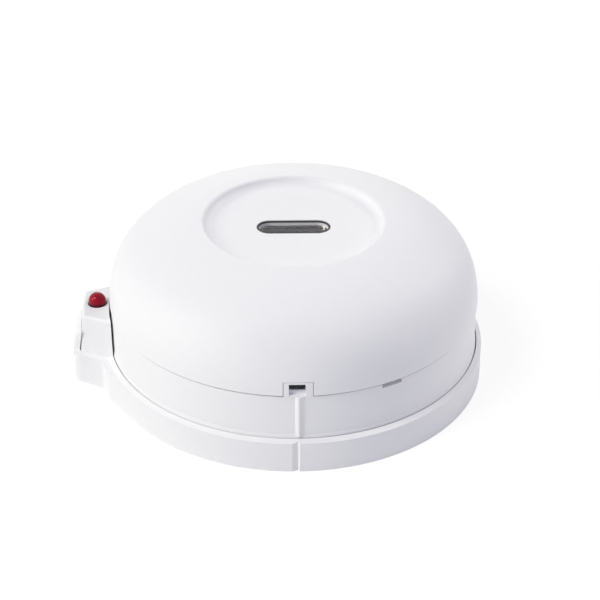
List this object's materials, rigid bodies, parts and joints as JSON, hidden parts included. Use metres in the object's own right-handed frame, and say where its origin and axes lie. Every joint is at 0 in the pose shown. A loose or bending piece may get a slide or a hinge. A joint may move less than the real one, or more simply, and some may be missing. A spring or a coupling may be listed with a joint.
{
  "type": "flame detector",
  "caption": "Round white ceiling flame detector with a domed cover, an obround sensor window in a shallow recess and a red lamp on a side lug of its base.",
  "frame": {"origin": "centre of the round cable entry on the back face of the mounting base", "axes": "+Z away from the surface the detector is fixed to, -Y towards the alignment rib and the release hole, -X towards the lamp lug"},
  "size_m": [0.1163, 0.1072, 0.047],
  "materials": {
    "white_base": "fine matte",
    "white_cover": "satin",
    "red_lamp": "clear gloss",
    "black_moulding": "matte",
    "black_rubber": "matte",
    "clear_window": "clear",
    "screw_steel": "zinc plated",
    "contact_brass": "bright",
    "green_board": "solder mask",
    "black_package": "moulded",
    "capacitor_sleeve": "sleeved",
    "film_box": "moulded",
    "crystal_can": "drawn",
    "sensor_can": "nickel plated",
    "sensor_filter": "coated",
    "pin_gold": "gold plated",
    "wire_sleeve": "smooth"
  },
  "bodies": {
    "base": {"mounting_base": "white_base", "lamp_cover": "white_base", "indicator_led": "red_lamp", "led_leads": "screw_steel", "lamp_board": "green_board", "lamp_resistor": "black_package", "lamp_wires": "wire_sleeve", "base_contacts": "contact_brass", "terminal_washers": "screw_steel", "terminal_screws": "screw_steel"},
    "head": {"lower_housing": "white_base", "head_contacts": "contact_brass", "contact_posts": "contact_brass", "main_board": "green_board", "board_screws": "screw_steel", "microcontroller": "black_package", "amplifier_chips": "black_package", "electrolytic_capacitors": "capacitor_sleeve", "film_capacitors": "film_box", "chip_resistors": "black_package", "crystal": "crystal_can", "board_spacers": "pin_gold", "sensor_board": "green_board", "sensor_board_screws": "screw_steel", "board_link": "black_package", "flame_sensors": "sensor_can", "sensor_filters": "sensor_filter", "sensor_pins": "pin_gold", "sensor_shroud": "black_package"},
    "latch": {"release_latch": "black_moulding", "latch_spring": "screw_steel"},
    "cover": {"dome_cover": "white_cover", "window_gasket": "black_rubber", "window_lens": "clear_window", "window_frame": "black_moulding", "frame_screws": "screw_steel"}
  },
  "joints": [
    {"name": "head_twist", "type": "hinge", "parent": "base", "child": "head", "pos_m": [0, 0, 0.01], "axis": [0, 0, 1], "range_deg": [0, 20]},
    {"name": "latch_press", "type": "slide", "parent": "head", "child": "latch", "axis": [0, 1, 0], "range_m": [0, 0.0018], "stiffness_N_per_m": 300, "springref_m": -0.002, "deforming": ["latch_spring"]},
    {"name": "cover_lift", "type": "slide", "parent": "head", "child": "cover", "axis": [0, 0, 1], "range_m": [0, 0.03]}
  ]
}
